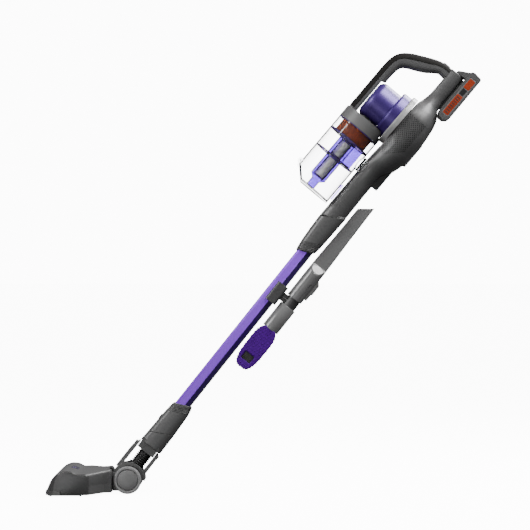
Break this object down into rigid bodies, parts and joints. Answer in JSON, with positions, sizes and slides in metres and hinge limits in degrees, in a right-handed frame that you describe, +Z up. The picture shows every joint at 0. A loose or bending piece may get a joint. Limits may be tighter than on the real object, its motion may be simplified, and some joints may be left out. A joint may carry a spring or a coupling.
{
  "type": "cordless stick vacuum",
  "caption": "Cordless stick vacuum with a clear cyclone bin, loop handle, slide-on battery, straight wand, stowed crevice and brush tools and a steering floor head.",
  "frame": {"origin": "centre of the hand grip on the loop handle", "axes": "+Z up with the stick leaning back in use, +X towards the back (battery side), +Y across the floor head to the right"},
  "size_m": [0.8773, 0.256, 0.8921],
  "materials": {
    "charcoal_plastic": "satin",
    "black_plastic": "matte",
    "soft_grip": "matte",
    "purple_gloss": "gloss",
    "purple_paint": "satin",
    "purple_tint": "gloss",
    "clear_plastic": "gloss",
    "silver_mesh": "satin",
    "filter_orange": "matte",
    "filter_foam": "matte",
    "board_green": "satin",
    "cell_blue": "satin",
    "label_orange": "satin",
    "tool_grey": "satin",
    "brush_purple": "satin",
    "roll_plastic": "satin",
    "bristle": "matte",
    "wheel_plastic": "satin"
  },
  "bodies": {
    "handheld": {"main_housing_left": "charcoal_plastic", "main_housing_right": "charcoal_plastic", "left_vent_grille": "charcoal_plastic", "right_vent_grille": "charcoal_plastic", "handle_core": "charcoal_plastic", "grip_overmold": "soft_grip", "motor_cover": "purple_gloss", "motor_cover_band": "purple_gloss", "front_trim_ring": "charcoal_plastic", "suction_motor": "black_plastic", "motor_carrier": "black_plastic", "exhaust_filter": "filter_foam", "control_board": "board_green", "battery_rail": "black_plastic", "dock_block": "black_plastic", "bin_seal": "soft_grip"},
    "fan": {"fan_impeller": "black_plastic"},
    "power_key": {"power_button": "charcoal_plastic"},
    "bin_release": {"bin_latch": "black_plastic"},
    "dust_bin": {"bin_cup": "clear_plastic", "bin_collar": "charcoal_plastic", "cyclone_shroud": "purple_tint", "mesh_screen": "silver_mesh", "filter_cartridge": "filter_orange", "door_hinge_pin": "silver_mesh", "door_seal": "soft_grip"},
    "bottom_door": {"bin_door": "clear_plastic"},
    "door_catch": {"door_latch": "purple_tint"},
    "battery": {"battery_case": "charcoal_plastic", "battery_cells": "cell_blue", "battery_labels": "label_orange"},
    "battery_key": {"battery_button": "tool_grey"},
    "wand": {"wand_tube": "purple_paint", "wire_channel": "tool_grey", "upper_cuff": "charcoal_plastic", "lower_cuff": "charcoal_plastic", "accessory_clip": "black_plastic"},
    "wand_key": {"upper_button": "charcoal_plastic"},
    "neck_key": {"lower_button": "charcoal_plastic"},
    "crevice": {"crevice_tool": "tool_grey"},
    "dusting_brush": {"brush_tool": "tool_grey", "brush_pad": "brush_purple"},
    "neck": {"neck_duct": "charcoal_plastic"},
    "steering_fork": {"fork": "charcoal_plastic", "flexible_hose": "soft_grip"},
    "floor_head": {"head_top_cover": "charcoal_plastic", "brush_window": "purple_tint", "head_base": "charcoal_plastic", "end_caps": "charcoal_plastic", "swivel_drum": "black_plastic", "sole_plate": "black_plastic", "glide_strips": "bristle", "front_bumper": "soft_grip", "drive_belt": "soft_grip", "brush_motor": "black_plastic"},
    "brush_roll": {"brush_roll_core": "roll_plastic", "brush_bristles": "bristle"},
    "pinion": {"motor_pinion": "black_plastic"},
    "wheel_left": {"left_wheel": "wheel_plastic"},
    "wheel_right": {"right_wheel": "wheel_plastic"}
  },
  "joints": [
    {"name": "fan_spin", "type": "hinge", "parent": "handheld", "child": "fan", "pos_m": [-0.06689, 0, -0.08816], "axis": [0.7627, 0, -0.6468], "continuous": true},
    {"name": "power_press", "type": "slide", "parent": "handheld", "child": "power_key", "axis": [-0.6468, 0, -0.7627], "range_m": [0, 0.0012], "stiffness_N_per_m": 400, "springref_m": -0.001},
    {"name": "bin_release_press", "type": "slide", "parent": "handheld", "child": "bin_release", "axis": [0, 1, 0], "range_m": [0, 0.0015], "stiffness_N_per_m": 400, "springref_m": -0.001},
    {"name": "bin_pull", "type": "slide", "parent": "handheld", "child": "dust_bin", "axis": [-0.7627, 0, 0.6468], "range_m": [0, 0.06]},
    {"name": "bin_door_swing", "type": "hinge", "parent": "dust_bin", "child": "bottom_door", "pos_m": [-0.23053, 0, -0.19916], "axis": [0, 1, 0], "range_deg": [0, 100]},
    {"name": "door_catch_press", "type": "slide", "parent": "dust_bin", "child": "door_catch", "axis": [-0.6468, 0, -0.7627], "range_m": [0, 0.003], "stiffness_N_per_m": 400, "springref_m": -0.001},
    {"name": "battery_pull", "type": "slide", "parent": "handheld", "child": "battery", "axis": [0.6468, 0, 0.7627], "range_m": [0, 0.09]},
    {"name": "battery_key_press", "type": "slide", "parent": "battery", "child": "battery_key", "axis": [-0.6468, 0, -0.7627], "range_m": [0, 0.002], "stiffness_N_per_m": 400, "springref_m": -0.001},
    {"name": "wand_pull", "type": "slide", "parent": "handheld", "child": "wand", "axis": [-0.6239, 0, -0.7815], "range_m": [0, 0.07]},
    {"name": "wand_key_press", "type": "slide", "parent": "wand", "child": "wand_key", "axis": [0.7815, 0, -0.6239], "range_m": [0, 0.0012], "stiffness_N_per_m": 400, "springref_m": -0.001},
    {"name": "neck_key_press", "type": "slide", "parent": "wand", "child": "neck_key", "axis": [0.7815, 0, -0.6239], "range_m": [0, 0.0012], "stiffness_N_per_m": 400, "springref_m": -0.001},
    {"name": "crevice_pull", "type": "slide", "parent": "wand", "child": "crevice", "axis": [0.6239, 0, 0.7815], "range_m": [0, 0.027]},
    {"name": "brush_pull", "type": "slide", "parent": "wand", "child": "dusting_brush", "axis": [-0.6239, 0, -0.7815], "range_m": [0, 0.03]},
    {"name": "head_pull", "type": "slide", "parent": "wand", "child": "neck", "axis": [-0.6239, 0, -0.7815], "range_m": [0, 0.05]},
    {"name": "steer", "type": "hinge", "parent": "neck", "child": "steering_fork", "pos_m": [-0.54219, 0, -0.79132], "axis": [0.7815, 0, -0.6239], "range_deg": [-45, 45], "deforming": ["flexible_hose"]},
    {"name": "pitch", "type": "hinge", "parent": "steering_fork", "child": "floor_head", "pos_m": [-0.58116, 0, -0.84798], "axis": [0, 1, 0], "range_deg": [-40, 38.6]},
    {"name": "brush_roll_spin", "type": "hinge", "parent": "floor_head", "child": "brush_roll", "pos_m": [-0.70106, 0, -0.85158], "axis": [0, 1, 0], "continuous": true},
    {"name": "pinion_spin", "type": "hinge", "parent": "floor_head", "child": "pinion", "pos_m": [-0.66606, 0, -0.84858], "axis": [0, 1, 0], "continuous": true},
    {"name": "left_wheel_spin", "type": "hinge", "parent": "floor_head", "child": "wheel_left", "pos_m": [-0.58116, -0.0495, -0.84798], "axis": [0, 1, 0], "continuous": true},
    {"name": "right_wheel_spin", "type": "hinge", "parent": "floor_head", "child": "wheel_right", "pos_m": [-0.58116, 0.0495, -0.84798], "axis": [0, 1, 0], "continuous": true}
  ],
  "couplings": [
    {"joint": "pinion_spin", "follows": "brush_roll_spin", "ratio": 1.8}
  ]
}
